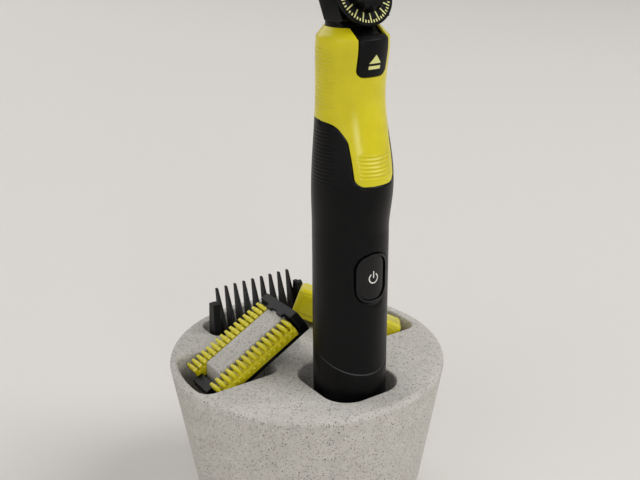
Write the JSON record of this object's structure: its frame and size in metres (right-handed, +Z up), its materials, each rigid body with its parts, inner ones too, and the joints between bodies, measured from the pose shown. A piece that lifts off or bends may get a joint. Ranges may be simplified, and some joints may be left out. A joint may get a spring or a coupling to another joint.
{
  "type": "shaver stand",
  "caption": "Tapered stone-effect stand with pockets, holding a handheld shaver with a dial-adjusted comb, a skin guard on a sloping peg, a body comb and a blade cap.",
  "frame": {"origin": "centre of the stand's base, on the surface that it stands on", "axes": "+Z up; the shaver stands at the front, towards -Y; the skin guard is at -X and the blade cap at +X"},
  "size_m": [0.1072, 0.1072, 0.2352],
  "materials": {
    "stone_effect": "mineral-filled moulding, fine dark specks, matte",
    "satin_black": "satin black moulding",
    "lime": "glossy yellow-green moulding",
    "bright_line": "thin bright ring",
    "steel": "plain steel",
    "blade_steel": "ground stainless steel",
    "matte_black": "fine matte black moulding",
    "contact_gold": "plated contact pins",
    "inner_white": "natural acetal",
    "cell_wrap": "shrink sleeve",
    "nickel": "nickel strip",
    "board_green": "solder mask",
    "seal_rubber": "soft silicone",
    "gloss_black": "polished black moulding"
  },
  "bodies": {
    "stand": {"stand_body": "stone_effect"},
    "handle": {"handle_shell": "satin_black", "front_cover": "lime", "end_cap": "satin_black", "end_cap_seal": "bright_line", "end_cap_screw": "steel", "charge_socket": "matte_black", "charge_pins": "contact_gold", "chassis": "inner_white", "battery_cell": "cell_wrap", "battery_tabs": "nickel", "motor_can": "steel", "motor_bell": "matte_black", "motor_screws": "steel", "circuit_board": "board_green", "tact_switch": "matte_black", "button_seal": "seal_rubber", "button_bezel": "gloss_black", "neck": "satin_black", "shaft_seal": "seal_rubber", "pivot_pins": "steel", "release_spring": "steel"},
    "power_button": {"power_button": "gloss_black"},
    "release_slider": {"release_slider": "satin_black"},
    "rotor": {"motor_shaft": "steel", "eccentric": "inner_white"},
    "blade_head": {"blade_housing": "lime", "blade_guard": "blade_steel"},
    "cutter": {"cutter_blade": "blade_steel", "cutter_bridge": "inner_white"},
    "comb": {"comb_base": "satin_black", "dial_detent": "steel"},
    "comb_dial": {"comb_dial": "satin_black", "dial_pinion": "inner_white"},
    "comb_slide": {"comb_slide": "satin_black"},
    "skin_guard": {"guard_front_teeth": "lime", "guard_rear_teeth": "lime", "guard_frame": "satin_black"},
    "body_comb": {"body_comb": "matte_black"},
    "blade_cap": {"blade_cap": "lime"}
  },
  "joints": [
    {"name": "handle_lift", "type": "slide", "parent": "stand", "child": "handle", "axis": [0, 0, 1], "range_m": [0, 0.04]},
    {"name": "button_press", "type": "slide", "parent": "handle", "child": "power_button", "axis": [0, 1, 0], "range_m": [0, 0.0007], "stiffness_N_per_m": 2500, "springref_m": -0.0002},
    {"name": "release_slide", "type": "slide", "parent": "handle", "child": "release_slider", "axis": [0, -0.1564, 0.9877], "range_m": [0, 0.0015], "stiffness_N_per_m": 1200, "springref_m": -0.0005, "deforming": ["release_spring"]},
    {"name": "rotor_spin", "type": "hinge", "parent": "handle", "child": "rotor", "pos_m": [0, -0.028, 0.1731], "axis": [0, 0, 1], "continuous": true},
    {"name": "head_pivot", "type": "hinge", "parent": "handle", "child": "blade_head", "pos_m": [0, -0.02473, 0.21334], "axis": [1, 0, 0], "range_deg": [-5, 5], "stiffness_Nm_per_rad": 0.05},
    {"name": "cutter_stroke", "type": "slide", "parent": "blade_head", "child": "cutter", "axis": [1, 0, 0], "range_m": [-0.0008, 0.0008]},
    {"name": "comb_pull", "type": "slide", "parent": "handle", "child": "comb", "axis": [0, -0.9135, 0.4067], "range_m": [0, 0.025]},
    {"name": "dial_turn", "type": "hinge", "parent": "comb", "child": "comb_dial", "pos_m": [0, -0.0362, 0.2156], "axis": [0, -0.9135, 0.4067], "range_deg": [0, 260]},
    {"name": "comb_raise", "type": "slide", "parent": "comb", "child": "comb_slide", "axis": [0, 0.4067, 0.9135], "range_m": [0, 0.0078]},
    {"name": "guard_lift", "type": "slide", "parent": "stand", "child": "skin_guard", "axis": [-0.4741, 0, 0.8805], "range_m": [0, 0.03]},
    {"name": "body_comb_lift", "type": "slide", "parent": "stand", "child": "body_comb", "axis": [0, 0, 1], "range_m": [0, 0.04]},
    {"name": "cap_lift", "type": "slide", "parent": "stand", "child": "blade_cap", "axis": [0, 0, 1], "range_m": [0, 0.04]}
  ],
  "couplings": [
    {"joint": "dial_turn", "follows": "comb_raise", "rad_per_m": 581.78}
  ]
}
